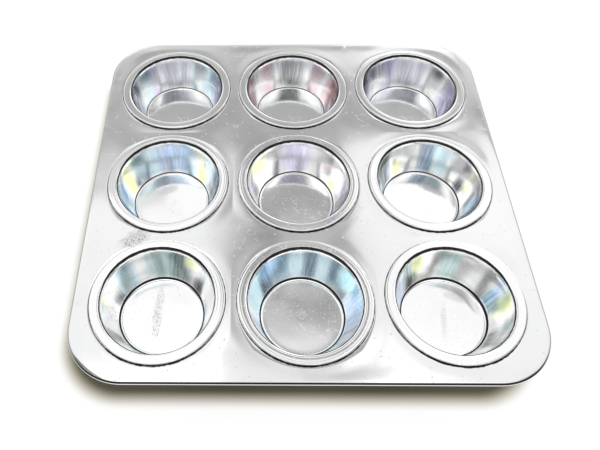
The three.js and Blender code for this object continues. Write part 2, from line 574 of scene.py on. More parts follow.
@dataclass(frozen=True)
class Smudge:
    """A rubbed patch: its centre from the piece's own middle, half length, half width and turn."""

    x: float
    y: float
    length: float
    width: float
    turn: float  # degrees
    dull: float  # how much it darkens the tin
    grit: float  # 0 for a smooth smear, 1 for fine specks


@dataclass(frozen=True)
class ShadeRing:
    """A ring of painted shade about a cup's axis, between two heights."""

    inner: float
    width: float  # at the back of the cup
    least: float  # share of the width that is left at the front
    low: float
    high: float


@dataclass(frozen=True, kw_only=True)
class TinFinish:
    """Bright tinplate with its rolling grain, scratches, pits, rubbed patches, oxide colours and painted reflections,
    and painted shade in the seams, on the rolled edge and in rings about each cup.
    """

    name: str
    face: float  # height of the deck's face, where walls end
    seam_pitch: float
    seam_radius: float
    middle: Point = (0.0, 0.0)
    colour: Colour = (0.90, 0.903, 0.905)
    cloud_low: float = 0.955  # tone of the darkest clouds
    roughness: float = 0.12
    grain_rough: float = 0.05  # how much rougher each kind of mark is
    scratch_rough: float = 0.24
    pit_rough: float = 0.4
    rubbed_rough: float = 0.5
    dirt_rough: float = 0.4
    wall_rough: float = 0.03
    flange_rough: float = 0.0
    wave_relief: float = 0.010  # millimetres that each kind of mark rises
    grain_relief: float = 0.0006
    draw_relief: float = 0.0
    scratch_relief: float = -0.003
    pit_relief: float = -0.05
    scratch_scale: float = 140.0
    scratch_amount: float = 0.8
    scratch_shine: float = 0.05
    pit_scale: float = 420.0
    pit_share: float = 0.12
    pit_dull: float = 0.06
    smudges: tuple[Smudge, ...] = ()
    tints: tuple[WallTint, ...] = ()
    wall_low: float = 1.5 * MM
    wall_soft: float = 3 * MM
    patch_soft: float = 9 * MM
    dirt_width: float = 0.55 * MM
    # near-black colour of the painted shade, and how fully it covers the tin
    dirt_cover: float = 0.98
    dirt_colour: Colour = (0.016, 0.015, 0.014)
    # rings of painted shade about a cup's axis
    soot: tuple[ShadeRing, ...] = ()
    half: float = 0.0  # half the pan's width, where the finish has a painted dark edge line
    corner: float = 0.0
    edge_start: float = -1.05 * MM
    edge_end: float = -0.28 * MM

    def rubbed(self, board: Surface, effects: Effects, smudge: Smudge) -> Socket:
        """Place one rubbed patch.

        Args:
            board: the material.
            effects: the shared node groups.
            smudge: the patch.

        Returns:
            How much it darkens the tin.
        """
        moved = board.mapping(board.place, (-smudge.x, -smudge.y, 0))
        turned = board.mapping(moved, turn=-math.radians(smudge.turn))
        sockets = {"Vector": turned, "Length": smudge.length, "Width": smudge.width, "Grit": smudge.grit}
        return board.product(board.effect(effects.rubbed_patch, sockets), smudge.dull)

    def wall(self, board: Surface, effects: Effects) -> tuple[Socket, Socket]:
        """Find a cup's wall and paint faint dark bars up it along the draw marks, stronger towards the top, as
        painted dark reflections.

        Args:
            board: the material.
            effects: the shared node groups.

        Returns:
            Mask of the wall, and the tone of the painted bars.
        """
        wall = board.product(
            board.ramp(board.z, self.wall_low, self.wall_low + self.wall_soft),
            board.ramp(board.z, self.face - 2 * MM, self.face - MM, 1.0, 0.0),
        )
        coarse = board.effect(effects.draw_marks, {"Scale": 4.5})
        upper = board.ramp(board.z, 0.35 * self.face, 0.9 * self.face, 0.15, 1.0)
        shade = board.product(board.ramp(coarse, 0.40, 0.58, 0.08, 0.0), wall, upper)
        return wall, board.math("SUBTRACT", 1.0, shade)

    def oxide(self, board: Surface, effects: Effects, metal: Socket, marks: Socket) -> Socket:
        """Lay the oxide colours and the painted reflections over the bare metal.

        Args:
            board: the material.
            effects: the shared node groups.
            metal: colour of the bare metal.
            marks: the draw marks, which make the colours ragged.

        Returns:
            The colour.
        """
        colour = metal
        rise = self.face - self.wall_low
        for tint in self.tints:
            low = self.wall_low + tint.low * rise
            high = self.wall_low + tint.high * rise
            sockets = {
                "Base": colour,
                "Metal": metal,
                "Tint": (*tint.tint.value, 1.0),
                "Bearing": math.radians(tint.bearing),
                "Spread": math.radians(tint.spread),
                "Streaks": marks,
                "Low": low,
                "Low End": low + (self.patch_soft if tint.low > 0 else self.wall_soft),
                "High": high,
                "High End": high - (self.patch_soft if tint.high < 1 else self.wall_soft),
            }
            colour = board.effect(effects.wall_tint, sockets)
        return colour

    def dirt(self, board: Surface, effects: Effects) -> Socket:
        """Find the painted shade along the seams and the rolled edge, and the rings of painted shade.

        Args:
            board: the material.
            effects: the shared node groups.

        Returns:
            Mask of the dirt.
        """
        # painted shade in the groove round each seam, and on a cup along the lower part of its hem
        sockets = {"Pitch": self.seam_pitch, "Radius": self.seam_radius, "Width": self.dirt_width}
        dirt = board.effect(effects.seam_shade, sockets)
        if self.tints:
            dirt = board.product(dirt, board.ramp(board.z, self.face, self.face + MM, 1.0, 0.0))
        if self.half:
            off = board.effect(effects.outline, {"Half": self.half, "Corner": self.corner})
            # painted dark line on the rolled edge, standing in for its dark reflection, darker at the front
            line = board.product(
                board.step(off, self.edge_start, 0.2 * MM),
                board.step(off, self.edge_end, -0.15 * MM),
                board.step(board.z, self.face - 0.9 * MM, 0.2 * MM),
                board.ramp(board.y, -0.95 * self.half, -0.84 * self.half, 1.0, 0.5),
            )
            dirt = board.math("MAXIMUM", dirt, line)
        for ring in self.soot:
            sockets = {name.capitalize(): value for name, value in asdict(ring).items()}
            dirt = board.math("MAXIMUM", dirt, board.effect(effects.shade_ring, sockets))
        return dirt

    def material(self, effects: Effects) -> bpy.types.Material:
        """Build the material.

        Args:
            effects: the shared node groups.

        Returns:
            The material.
        """
        board = Surface(self.name, self.middle)
        grain = board.noise(board.mapping(board.place, scale=(0.06, 1, 1)), 1400.0, 3.0)
        cloud = board.noise(board.place, 28.0, 3.0, 0.6)
        marks = board.effect(effects.draw_marks, {"Scale": 26.0})
        pits = board.effect(effects.pits, {"Scale": self.pit_scale, "Share": self.pit_share})
        sockets = {"Scale": self.scratch_scale, "Amount": self.scratch_amount}
        scratches = board.effect(effects.scratches, sockets)
        wall, reflection_bars = self.wall(board, effects) if self.tints else (0.0, 1.0)
        scratches = board.product(scratches, board.ramp(wall, 0.0, 1.0, 1.0, 0.15))
        dull = board.product(pits, self.pit_dull)
        for smudge in self.smudges:
            dull = board.math("MAXIMUM", dull, self.rubbed(board, effects, smudge))
        dirt = self.dirt(board, effects)

        clouds = board.ramp(cloud, 0.3, 0.7, self.cloud_low, 1.0)
        tone = board.product(board.total(clouds, (scratches, self.scratch_shine), (dull, -1.0)), reflection_bars)
        colour = self.oxide(board, effects, board.vector("MULTIPLY", self.colour, tone), marks)
        # the painted shade darkens the colour
        colour = board.blend(board.product(dirt, self.dirt_cover), colour, (*self.dirt_colour, 1.0))
        rough = board.total(
            board.math("ADD", self.roughness, board.ramp(cloud, 0.35, 0.75, -0.02, 0.05)),
            (board.math("SUBTRACT", grain, 0.5), self.grain_rough),
            (scratches, self.scratch_rough),
            (pits, self.pit_rough),
            (dull, self.rubbed_rough),
            (dirt, self.dirt_rough),
            (wall, self.wall_rough),
            (board.ramp(board.z, self.face - MM, self.face), self.flange_rough),
        )
        relief = board.total(
            0.0,
            (board.noise(board.place, 95.0), self.wave_relief),
            (grain, self.grain_relief),
            (marks, self.draw_relief),
            (scratches, self.scratch_relief),
            (pits, self.pit_relief),
        )
        return board.dress(colour, rough, relief, 1.0, MM)


@dataclass(frozen=True)
class WireFinish:
    """Drawn steel wire with a dull, slightly spotted skin."""

    name: str = "drawn_wire"
    light: Colour = (0.46, 0.47, 0.48)
    dark: Colour = (0.30, 0.29, 0.28)

    def material(self) -> bpy.types.Material:
        """Build the material.

        Returns:
            The material.
        """
        board = Surface(self.name)
        spots = board.ramp(board.noise(board.place, 260.0, 4.0), 0.4, 0.68)
        colour = board.blend(spots, (*self.light, 1.0), (*self.dark, 1.0))
        rough = board.ramp(spots, 0.0, 1.0, 0.34, 0.55)
        return board.dress(colour, rough, board.noise(board.place, 2600.0), 0.3, 0.02 * MM)


@dataclass(frozen=True)
class Seam:
    """Lock seam round a mouth. Heights are from the deck's face, radii from the cup's axis."""

    sheet: float = 0.4 * MM
    clear: float = 0.1 * MM
    mouth: float = 34 * MM
    width: float = 6.4 * MM
    lip_hollow: float = 1.6 * MM

    @property
    def radius(self) -> float:
        """Outer edge of the seam."""
        return self.mouth + self.width

    @property
    def lip_bend(self) -> float:
        """Outside radius of the lip."""
        return self.lip_hollow + self.sheet

    @property
    def collar_low(self) -> float:
        """Underside of the deck's folded collar."""
        return 2 * self.clear + self.sheet

    @property
    def flange_high(self) -> float:
        """Top of the cup's flange."""
        return 3 * (self.clear + self.sheet)

    @property
    def fold_hollow(self) -> float:
        """Inside radius of the fold in the deck."""
        return self.collar_low / 2

    @property
    def fold_radius(self) -> float:
        """Centre of the fold in the deck, which is also the inner edge of the hem."""
        fold_bend = self.fold_hollow + self.sheet
        return self.mouth + self.sheet + max(self.lip_hollow, self.clear + fold_bend)

    @property
    def collar_edge(self) -> float:
        """Outer edge of the collar."""
        return self.radius - self.sheet - self.clear


@dataclass(frozen=True)
class CupPlace:
    """One cup: the node it stands for, its axis and the finish of its walls and floor."""

    node: str
    tints: tuple[WallTint, ...]
    smudges: tuple[Smudge, ...] = ()
    soot: float = 0.3 * MM  # height of the ring of painted shade at the wall's foot
    pits: float = 0.1  # share of the floor's cells that hold a bright pit

    @cached_property
    def axis(self) -> Point:
        """Middle of the cup, seen from above."""
        low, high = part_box(self.node)
        return ((low[0] + high[0]) / 2, (low[1] + high[1]) / 2)


# Each cup's colours: oxide tints with painted reflection in them, and painted dark reflections.
CUPS = (
    CupPlace(
        "cup_back_left",
        (
            WallTint(Tint.HAZE, 90, 130, 0.45),
            WallTint(Tint.SLATE, 96, 34),
            WallTint(Tint.SKY, 34, 24),
            WallTint(Tint.LILAC, 4, 22),
            WallTint(Tint.SHADE, 24, 10, 0.45, 0.9),
            WallTint(Tint.SKY, 200, 26, 0.0, 0.6),
            WallTint(Tint.SHADE, 146, 12, 0.5),
            WallTint(Tint.SHADE, 172, 9, 0.3),
        ),
    ),
    CupPlace(
        "cup_back_centre",
        (
            WallTint(Tint.HAZE, 90, 130, 0.45),
            WallTint(Tint.SHADE, 90, 24),
            WallTint(Tint.ROSE, 8, 28),
            WallTint(Tint.EMBER, 0, 16, 0.3),
            WallTint(Tint.ROSE, 182, 28),
        ),
    ),
    CupPlace(
        "cup_back_right",
        (
            WallTint(Tint.HAZE, 90, 130, 0.45),
            WallTint(Tint.SLATE, 82, 42),
            WallTint(Tint.LILAC, -12, 38),
            WallTint(Tint.SHADE, 36, 14, 0.5),
            WallTint(Tint.SHADE, 130, 16, 0.3),
            WallTint(Tint.DUSK, 162, 15, 0.3),
        ),
    ),
    CupPlace(
        "cup_middle_left",
        (
            WallTint(Tint.BLUE, 92, 36),
            WallTint(Tint.SKY, 132, 26),
            WallTint(Tint.SKY, 204, 34),
            WallTint(Tint.SHADE, 4, 28),
            WallTint(Tint.STRAW, 38, 15, 0.0, 0.65),
            WallTint(Tint.DUSK, 154, 9, 0.0, 0.5),
            WallTint(Tint.STRAW, 164, 12),
        ),
        (Smudge(-0.004, 0.010, 0.012, 0.005, 20, 0.18, 0.2),),
        soot=0.5 * MM,
    ),
    CupPlace(
        "cup_middle_centre",
        (
            WallTint(Tint.LILAC, 90, 26),
            WallTint(Tint.STRAW, 22, 14, 0.0, 0.4),
            WallTint(Tint.ROSE, 40, 14, 0.25, 0.75),
            WallTint(Tint.SHADE, -20, 16),
            WallTint(Tint.STRAW, 150, 18, 0.25),
            WallTint(Tint.SHADE, 172, 14, 0.0, 0.7),
        ),
        soot=0.6 * MM,
        pits=0.42,
    ),
    CupPlace(
        "cup_middle_right",
        (
            WallTint(Tint.SKY, 66, 24),
            WallTint(Tint.DENIM, 80, 13),
            WallTint(Tint.BLUE, -32, 20, 0.3),
            WallTint(Tint.SHADE, 20, 12, 0.0, 0.55),
            WallTint(Tint.DUSK, 150, 20),
            WallTint(Tint.STRAW, 122, 12, 0.0, 0.75),
        ),
        (Smudge(0.010, 0.010, 0.013, 0.004, -35, 0.35, 0.1),),
        soot=0.6 * MM,
    ),
    CupPlace(
        "cup_front_left",
        (
            WallTint(Tint.TEAL, 90, 30),
            WallTint(Tint.PINE, 68, 20),
            WallTint(Tint.STRAW, 57, 10, 0.45),
            WallTint(Tint.SHADE, 38, 12, 0.0, 0.6),
            WallTint(Tint.SHADE, 6, 16, 0.0, 0.4),
            WallTint(Tint.SKY, 138, 18),
            WallTint(Tint.SHADE, 160, 12, 0.0, 0.6),
            WallTint(Tint.SHADE, 228, 20, 0.0, 0.6),
        ),
        (
            Smudge(-0.003, -0.001, 0.029, 0.0042, 86, 0.75, 1.0),
            Smudge(-0.029, -0.003, 0.010, 0.0035, 95, 0.5, 1.0),
        ),
        soot=1.3 * MM,
        pits=0.2,
    ),
    CupPlace(
        "cup_front_centre",
        (
            WallTint(Tint.SKY, 90, 150),
            WallTint(Tint.BLUE, -8, 30),
            WallTint(Tint.SKY, 166, 28),
            WallTint(Tint.DENIM, 80, 11),
            WallTint(Tint.DENIM, 140, 12),
            WallTint(Tint.DENIM, 204, 18),
            WallTint(Tint.DENIM, -40, 18),
        ),
        soot=1.3 * MM,
        pits=0.5,
    ),
    CupPlace(
        "cup_front_right",
        (
            WallTint(Tint.TEAL, 80, 16),
            WallTint(Tint.BLUE, 162, 20),
            WallTint(Tint.PINE, 134, 18),
            WallTint(Tint.STRAW, 121, 10, 0.35),
            WallTint(Tint.PINE, 14, 18, 0.0, 0.8),
            WallTint(Tint.STRAW, 1, 12, 0.3),
            WallTint(Tint.SHADE, -40, 20, 0.0, 0.6),
        ),
        (
            Smudge(0.0, -0.002, 0.017, 0.0025, 80, 0.3, 0.8),
            Smudge(0.009, 0.013, 0.010, 0.004, -30, 0.2, 0.3),
        ),
        soot=1.3 * MM,
        pits=0.3,
    ),
)


@dataclass
class Cups:
    """Nine drawn cups, each with a lip, a flange and a hem folded under it."""

    seam: Seam
    deck_face: float
    depth: float = 24 * MM
    neck: float = 0.6 * MM
    wall_lean: float = 7.8 * MM
    fillet: float = 2.5 * MM
    crease: float = 0.35 * MM
    bead: float = 0.3 * MM  # half the width of a press line in the flange
    bead_places: tuple[Point, ...] = ((0.12, 0.04 * MM), (0.7, 0.016 * MM))  # share across the flange, and depth
    steps: int = 160
    bend_steps: int = 10
    floor_rings: int = 10
    smooth_angle: float = 38.0
    dent: float = 0.10 * MM
    wall_waves: tuple[int, ...] = (2, 3, 5, 8, 13)  # how often each dent comes round the wall
    lip_soot_start: float = 0.13  # share of the lip's bend
    lip_soot_width: float = 1.35 * MM
    lip_soot_least: float = 0.36
    foot_share: float = 0.38  # how far up the fillet the painted shade at the wall's foot starts

    @property
    def lip(self) -> Point:
        """Centre of the lip's bend."""
        return (self.seam.mouth + self.seam.lip_bend, self.seam.flange_high - self.seam.lip_bend)

    @property
    def lean(self) -> float:
        """Angle of the wall from upright, in radians."""
        return math.atan2(self.wall_lean, self.depth + self.lip[1] - self.neck)

    @property
    def floor_edge(self) -> float:
        """Radius at which the flat floor ends."""
        return self.seam.mouth - self.wall_lean - self.fillet * math.tan((QUARTER - self.lean) / 2)

    def section(self) -> list[Point]:
        """Visible face of a cup, from the middle of its floor to the inner edge of its hem.

        Returns:
            Radius and height of each point, the height from the deck's face.
        """
        seam = self.seam
        foot = self.lip[1] - self.neck
        corner = (self.floor_edge, self.fillet - self.depth)
        hem_bend = (seam.flange_high - seam.clear) / 2
        hem = (seam.radius - hem_bend, seam.clear + hem_bend)
        floor = [(self.floor_edge * i / self.floor_rings, -self.depth) for i in range(self.floor_rings)]
        rise = arc(corner, self.fillet, -QUARTER, -self.lean, self.bend_steps)
        wall_top = (seam.mouth - self.crease * math.sin(self.lean), foot - self.crease * math.cos(self.lean))
        wall = [
            tuple(a + (b - a) * i / self.bend_steps for a, b in zip(rise[-1], wall_top))
            for i in range(1, self.bend_steps + 1)
        ]
        neck = [(seam.mouth, foot + min(self.crease, self.neck / 2))]
        over = arc(self.lip, seam.lip_bend, math.pi, QUARTER, self.bend_steps)
        round_hem = arc(hem, hem_bend, QUARTER, -QUARTER, self.bend_steps)
        beads = [
            (self.lip[0] + share * (hem[0] - self.lip[0]) + out * self.bead, seam.flange_high - drop)
            for share, depth in self.bead_places
            for out, drop in ((-1, 0.0), (0, depth), (1, 0.0))
        ]
        return [*floor, *rise, *wall, *neck, *over, *beads, *round_hem, (seam.fold_radius, seam.clear)]

    def model(self) -> bpy.types.Object:
        """Model one cup about the Z axis, with its sheet thickness.

        Returns:
            The cup.
        """
        cup = trace("cup_pattern", [(radius, height + self.deck_face) for radius, height in self.section()])
        bpy.ops.mesh.select_all(action="SELECT")
        bpy.ops.mesh.spin(steps=self.steps, angle=FULL_TURN, center=(0, 0, 0), axis=(0, 0, 1))
        close_sheet()
        thicken(cup, self.seam.sheet, self.smooth_angle)
        return cup

    def settle(self, cup: bpy.types.Object, number: int) -> None:
        """Leave a cup very slightly out of round, as a drawn one is.

        Args:
            cup: the cup, still about the Z axis.
            number: its place in the pan, which varies the dents.
        """
        top = self.deck_face - self.neck - self.crease
        for vertex in cup.data.vertices:
            radius = math.hypot(vertex.co.x, vertex.co.y)
            if radius < MERGE:
                continue
            bearing = math.atan2(vertex.co.y, vertex.co.x)
            share = ease(vertex.co.z, 1 * MM, 8 * MM) * (1 - ease(vertex.co.z, top - 7 * MM, top - 1 * MM))
            wave = sum(
                math.sin(k * bearing + 1.7 * k * k + 2.3 * number) / math.sqrt(k) for k in self.wall_waves
            )
            stretch = 1 + self.dent * share * wave / radius
            vertex.co.x *= stretch
            vertex.co.y *= stretch
            floor = 1 - ease(radius, 0.45 * self.seam.mouth, 0.66 * self.seam.mouth)
            low = 1 - ease(vertex.co.z, 0.6 * MM, 1.5 * MM)
            swell = math.sin(160 * vertex.co.x + number) * math.cos(140 * vertex.co.y + 1.9 * number)
            vertex.co.z += self.dent * floor * low * 0.5 * (1 + swell)

    def finish(self, place: CupPlace) -> TinFinish:
        """Finish of one cup.

        Args:
            place: the cup.

        Returns:
            The finish.
        """
        # painted shade in the crease under the lip and at the wall's foot, darkest and widest at the back of the cup
        lip_shade = ShadeRing(
            inner=self.seam.mouth + self.lip_soot_start * self.seam.lip_bend,
            width=self.lip_soot_width,
            least=self.lip_soot_least,
            low=self.deck_face - MM,
            high=self.deck_face + 2 * MM,
        )
        foot = self.fillet * self.foot_share
        floor_shade = ShadeRing(self.floor_edge + foot, self.fillet * 2, 1.0, foot, foot + place.soot)
        return TinFinish(
            name=f"{place.node}_tin",
            face=self.deck_face,
            seam_pitch=4 * self.seam.radius,
            seam_radius=self.seam.radius,
            middle=place.axis,
            colour=(0.98, 0.982, 0.983),
            cloud_low=0.975,
            flange_rough=-0.03,
            draw_relief=0.004,
            pit_scale=700.0,
            pit_share=place.pits,
            smudges=place.smudges,
            tints=place.tints,
            soot=(lip_shade, floor_shade),
        )

    def build(self, effects: Effects) -> None:
        """Copy the cup to its nine places and dress each copy.

        Args:
            effects: the shared node groups.
        """
        pattern = self.model()
        for number, place in enumerate(CUPS):
            select_only(pattern)
            bpy.ops.object.duplicate(linked=False)
            cup = name_new(f"{place.node}_shell")
            self.settle(cup, number)
            bpy.ops.object.mode_set(mode="EDIT")
            bpy.ops.mesh.select_all(action="SELECT")
            bpy.ops.transform.translate(value=(*place.axis, 0))
            bpy.ops.object.mode_set(mode="OBJECT")
            cup.data.materials.append(self.finish(place).material(effects))
            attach(cup, BODY)
            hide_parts(place.node)
            LOG.info("%s: %d faces", cup.name, len(cup.data.polygons))
        bpy.data.objects.remove(pattern)


@dataclass
class Deck:
    """Flat sheet with a folded collar round each hole and its edge rolled over the wire."""

    seam: Seam
    face: float
    half: float
    pitch: float
    corner: float = 35 * MM
    wire: float = 1.6 * MM
    steps: int = 128
    rings: int = 9
    roll_steps: int = 20
    fold_steps: int = 8
    smooth_angle: float = 40.0
    wave: float = 0.35 * MM
    wave_fade: float = 9 * MM
    groove: tuple[Point, ...] = ((0.2 * MM, -0.2 * MM), (0.5 * MM, -0.2 * MM), (0.9 * MM, 0.0))
    dirt_out: float = 0.4 * MM  # from the seam's edge to the middle of the painted shade
    smudges: tuple[Smudge, ...] = (
        Smudge(-0.106, -0.046, 0.013, 0.008, 35, 1.0, 1.0),
        Smudge(-0.118, 0.010, 0.018, 0.003, 80, 0.2, 0.4),
        Smudge(0.020, -0.132, 0.040, 0.006, 2, 0.12, 0.6),
    )

    @property
    def roll(self) -> float:
        """Outside radius of the rolled edge."""
        return self.wire / 2 + self.seam.clear + self.seam.sheet

    @property
    def flat(self) -> float:
        """Half the width of the flat part, where the roll starts."""
        return self.half - self.roll

    @property
    def corner_centre(self) -> float:
        """How far the centre of a corner lies from the pan's middle, along X and along Y."""
        return self.half - self.corner

    @property
    def groove_edge(self) -> float:
        """Radius at which the groove round a seam ends."""
        return self.seam.radius + self.groove[-1][0]

    def outward(self, place: Vector) -> Vector:
        """Direction out of the pan at a place on its edge.

        Args:
            place: the place.

        Returns:
            A level unit vector.
        """
        over_x = abs(place.x) - self.corner_centre
        over_y = abs(place.y) - self.corner_centre
        if over_x > 0 and over_y > 0:
            return Vector((math.copysign(over_x, place.x), math.copysign(over_y, place.y), 0)).normalized()
        if over_x > over_y:
            return Vector((math.copysign(1, place.x), 0, 0))
        return Vector((0, math.copysign(1, place.y), 0))

    def cell_edge(self, middle: Point, step: int) -> Vector:
        """Place on the edge of a cup's share of the flat sheet.

        Args:
            middle: the cup's axis.
            step: number of the ray from the axis.

        Returns:
            The place.
        """
        bearing = FULL_TURN * step / self.steps
        longest = max(abs(math.cos(bearing)), abs(math.sin(bearing)))
        reach = []
        for way, centre in zip((math.cos(bearing) / longest, math.sin(bearing) / longest), middle):
            outer = self.flat - abs(centre) if centre * way > MERGE else self.pitch / 2
            reach.append(centre + way * outer)
        place = Vector((*reach, self.face))
        if all(abs(along) > self.corner_centre for along in place.xy):
            centre = Vector((*(math.copysign(self.corner_centre, along) for along in place.xy), self.face))
            place = centre + (place - centre).normalized() * (self.corner - self.roll)
        return place

    def collar(self) -> list[Point]:
        """Face of the fold from the hole's edge round and back out over the hem.

        Returns:
            Radius and height above the deck's face.
        """
        fold = (self.seam.fold_radius, self.seam.fold_hollow)
        bend = arc(fold, self.seam.fold_hollow, -QUARTER, -3 * QUARTER, self.fold_steps)
        return [*bend[1:], (self.seam.collar_edge, self.seam.collar_low)]

    def cell(self, name: str, middle: Point) -> bpy.types.Object:
        """Model one cup's share of the deck, from its collar to the cell's edge.

        Args:
            name: name of the piece.
            middle: the cup's axis.

        Returns:
            The piece.
        """
        centre = Vector((*middle, self.face))
        hole = self.seam.fold_radius
        bpy.ops.object.select_all(action="DESELECT")
        bpy.ops.mesh.primitive_circle_add(vertices=self.steps, radius=hole, location=(0, 0, 0))
        piece = name_new(name)
        bpy.ops.object.mode_set(mode="EDIT")
        shape = bmesh.from_edit_mesh(piece.data)
        ray = shape.verts.layers.int.new("ray")
        for vertex in shape.verts:
            bearing = math.atan2(vertex.co.y, vertex.co.x)
            vertex[ray] = round(bearing / FULL_TURN * self.steps) % self.steps
        bmesh.update_edit_mesh(piece.data)
        bpy.ops.mesh.select_all(action="SELECT")
        bpy.ops.transform.translate(value=centre)

        def ray_of(vertex: bmesh.types.BMVert) -> int:
            """Number of the ray that a vertex lies on."""
            return vertex[bmesh.from_edit_mesh(piece.data).verts.layers.int["ray"]]

        def on_circle(vertex: bmesh.types.BMVert, radius: float, height: float) -> Vector:
            """Place at a radius and height on a vertex's own ray."""
            bearing = FULL_TURN * ray_of(vertex) / self.steps
            return centre + Vector((radius * math.cos(bearing), radius * math.sin(bearing), height))

        def towards_edge(vertex: bmesh.types.BMVert, share: float) -> Vector:
            """Place between the seam and the cell's edge on a vertex's own ray."""
            return on_circle(vertex, self.groove_edge, 0).lerp(self.cell_edge(middle, ray_of(vertex)), share)

        for out, drop in ((-MM, 0.0), *self.groove):
            extrude_ring(lambda vertex: on_circle(vertex, self.seam.radius + out, drop))
        for ring in range(1, self.rings + 1):
            extrude_ring(lambda vertex: towards_edge(vertex, ring / self.rings))
        select_edges(lambda edge: all((v.co - centre).xy.length < hole + MERGE for v in edge.verts))
        for radius, height in self.collar():
            extrude_ring(lambda vertex: on_circle(vertex, radius, height))
        bpy.ops.object.mode_set(mode="OBJECT")
        return piece

    def from_cup(self, place: Vector) -> float:
        """Distance of a place from the axis of the nearest cup."""
        return min(math.dist(place.xy, cup.axis) for cup in CUPS)

    def roll_edge(self) -> None:
        """Extrude the outer edge of the edited sheet round the wire."""
        limit = self.seam.radius + MM
        select_edges(lambda edge: edge.is_boundary and all(self.from_cup(v.co) > limit for v in edge.verts))
        before = 0.0
        for out, height in arc((0, -self.roll), self.roll, QUARTER, -math.pi, self.roll_steps)[1:]:
            level, shift = self.face + height, out - before
            extrude_ring(lambda vertex: Vector((*vertex.co.xy, level)) + self.outward(vertex.co) * shift)
            before = out

    def buckle(self, piece: bpy.types.Object) -> None:
        """Leave the flat sheet gently uneven between the seams and the rolled edge.

        Args:
            piece: the deck's face.
        """
        for vertex in piece.data.vertices:
            if abs(vertex.co.z - self.face) > MERGE:
                continue
            x, y = vertex.co.xy
            near = self.from_cup(vertex.co) - self.groove_edge
            inset = self.flat - max(abs(x), abs(y))
            share = ease(near, 0.5 * MM, self.wave_fade) * ease(inset, 0.0, self.wave_fade)
            swell = math.sin(31 * x + 1.3) * math.cos(27 * y - 0.4) + 0.6 * math.sin(58 * x + 41 * y + 2.0)
            vertex.co.z += self.wave * share * swell / 1.6

    def build(self, effects: Effects) -> None:
        """Join the nine shares, roll the edge, thicken the sheet and dress it.

        Args:
            effects: the shared node groups.
        """
        cells = [self.cell(f"deck_share_{i}", place.axis) for i, place in enumerate(CUPS)]
        select_only(cells[0])
        for cell in cells:
            cell.select_set(True)
        bpy.ops.object.join()
        deck = name_new("deck_sheet_tin")
        bpy.ops.object.mode_set(mode="EDIT")
        merge_doubles()
        self.roll_edge()
        close_sheet()
        deck.data.attributes.remove(deck.data.attributes["ray"])
        self.buckle(deck)
        thicken(deck, self.seam.sheet, self.smooth_angle)
        finish = TinFinish(
            name="deck_tin_sheet",
            face=self.face,
            seam_pitch=self.pitch,
            seam_radius=self.seam.radius + self.dirt_out,
            smudges=self.smudges,
            half=self.half,
            corner=self.corner,
        )
        deck.data.materials.append(finish.material(effects))
        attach(deck, BODY)
        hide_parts("deck_sheet")
        LOG.info("%s: %d faces", deck.name, len(deck.data.polygons))


@dataclass
class RimWire:
    """Steel hoop inside the rolled edge, which keeps its own solid."""

    finish: WireFinish = WireFinish()

    def build(self) -> None:
        """Dress the wire."""
        wire = bpy.data.objects["rim_wire"]
        made = self.finish.material()
        if wire.material_slots:
            for slot in wire.material_slots:
                slot.material = made
        else:
            wire.data.materials.append(made)
        LOG.info("%s: dressed", wire.name)


